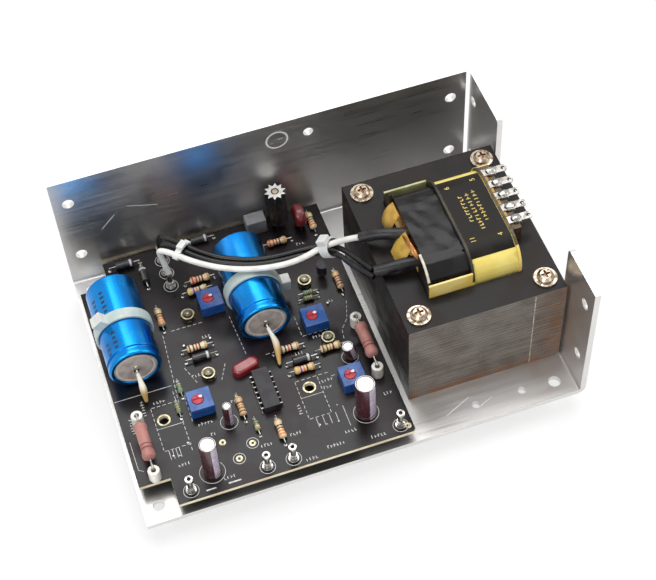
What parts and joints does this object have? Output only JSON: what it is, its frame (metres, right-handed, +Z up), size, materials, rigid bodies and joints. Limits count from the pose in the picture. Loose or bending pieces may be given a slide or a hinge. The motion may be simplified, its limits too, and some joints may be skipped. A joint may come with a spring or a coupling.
{
  "type": "power supply",
  "caption": "Open-frame linear power supply: folded aluminium chassis with a laminated transformer and a circuit board of regulator parts.",
  "frame": {"origin": "centre of the chassis's footprint on the plane that the supply stands on", "axes": "+X along the chassis towards the transformer end, +Y towards the back wall, +Z up"},
  "size_m": [0.1778, 0.1238, 0.0734],
  "materials": {
    "sheet_aluminium": "dull brushed sheet",
    "board_laminate": "black solder mask with white print lines",
    "plated_steel": "bright zinc plate",
    "mica_sheet": "clear amber mica",
    "can_steel": "nickel plate",
    "core_steel": "black varnish over laminations, brown with rust at the front",
    "former_nylon": "yellow moulding",
    "winding_copper": "enamelled copper",
    "black_tape": "glossy black tape",
    "yellow_tape": "yellow film tape",
    "label_black": "black film label",
    "screw_nickel": "warm nickel plate",
    "tinned_copper": "tinned copper",
    "capacitor_sleeve": "glossy blue sleeve",
    "rubber_seal": "grey brown seal",
    "natural_nylon": "white nylon",
    "white_insulation": "white insulation",
    "black_insulation": "black insulation",
    "cream_sleeve": "cream sleeving",
    "black_sleeve": "black sleeving",
    "trimmer_case": "blue case",
    "rotor_red": "red rotor",
    "tinned_brass": "tinned brass",
    "electrolytic_sleeve": "maroon sleeve with a pale stripe",
    "carbon_tan": "tan body with colour bands",
    "resistor_green": "pale green body with colour bands",
    "resistor_pink": "pink coat with two dark bands",
    "bead_ceramic": "white ceramic",
    "diode_black": "black moulding with a pale band",
    "chip_black": "black moulding",
    "cooler_aluminium": "bright top, dark fins",
    "driver_can": "gold washed can",
    "dipped_red": "red dipped coat",
    "disc_red": "dark red dipped coat",
    "film_grey": "grey case"
  },
  "bodies": {
    "supply": {"chassis": "sheet_aluminium", "circuit_board": "board_laminate", "board_spacers": "plated_steel", "transistor_screws": "plated_steel", "transistor_nuts": "plated_steel", "transistor_insulators": "mica_sheet", "pass_transistor_left": "can_steel", "pass_transistor_right": "can_steel", "core_e_stack": "core_steel", "core_i_stack": "core_steel", "bobbin": "former_nylon", "primary_winding": "winding_copper", "primary_tape": "black_tape", "secondary_winding": "winding_copper", "secondary_tape": "yellow_tape", "winding_label": "label_black", "transformer_screws": "screw_nickel", "transformer_nuts": "plated_steel", "terminal_lugs": "tinned_copper", "filter_capacitor_left": "capacitor_sleeve", "filter_capacitor_right": "capacitor_sleeve", "capacitor_seals": "rubber_seal", "capacitor_leads": "tinned_copper", "lead_sleeves": "cream_sleeve", "capacitor_tie_left": "natural_nylon", "capacitor_tie_right": "natural_nylon", "lead_tie": "natural_nylon", "bundle_tie": "natural_nylon", "white_lead": "white_insulation", "black_lead_upper": "black_insulation", "black_lead_lower": "black_insulation", "winding_sleeves": "black_sleeve", "terminal_posts": "tinned_brass", "electrolytic_1": "electrolytic_sleeve", "electrolytic_2": "electrolytic_sleeve", "electrolytic_3": "electrolytic_sleeve", "electrolytic_4": "electrolytic_sleeve", "power_resistor_left": "resistor_pink", "power_resistor_right": "resistor_pink", "resistor_beads": "bead_ceramic", "carbon_resistors": "carbon_tan", "green_resistors": "resistor_green", "diodes": "diode_black", "regulator_chip": "chip_black", "star_cooler": "cooler_aluminium", "driver_transistor": "driver_can", "dipped_capacitor": "dipped_red", "standing_capacitor": "disc_red", "film_capacitor": "film_grey", "small_transistor": "chip_black", "trimmer_body_1": "trimmer_case", "trimmer_body_2": "trimmer_case", "trimmer_body_3": "trimmer_case", "trimmer_body_4": "trimmer_case"},
    "rotor_1": {"trimmer_rotor_1": "rotor_red"},
    "rotor_2": {"trimmer_rotor_2": "rotor_red"},
    "rotor_3": {"trimmer_rotor_3": "rotor_red"},
    "rotor_4": {"trimmer_rotor_4": "rotor_red"}
  },
  "joints": [
    {"name": "rotor_1_turn", "type": "hinge", "parent": "supply", "child": "rotor_1", "pos_m": [-0.0396, 0.02245, 0.02388], "axis": [0, 0, 1], "range_deg": [-135, 135]},
    {"name": "rotor_2_turn", "type": "hinge", "parent": "supply", "child": "rotor_2", "pos_m": [-0.0029, -0.00035, 0.02388], "axis": [0, 0, 1], "range_deg": [-135, 135]},
    {"name": "rotor_3_turn", "type": "hinge", "parent": "supply", "child": "rotor_3", "pos_m": [-0.0567, -0.02275, 0.02388], "axis": [0, 0, 1], "range_deg": [-135, 135]},
    {"name": "rotor_4_turn", "type": "hinge", "parent": "supply", "child": "rotor_4", "pos_m": [0.0021, -0.03215, 0.02388], "axis": [0, 0, 1], "range_deg": [-135, 135]}
  ]
}
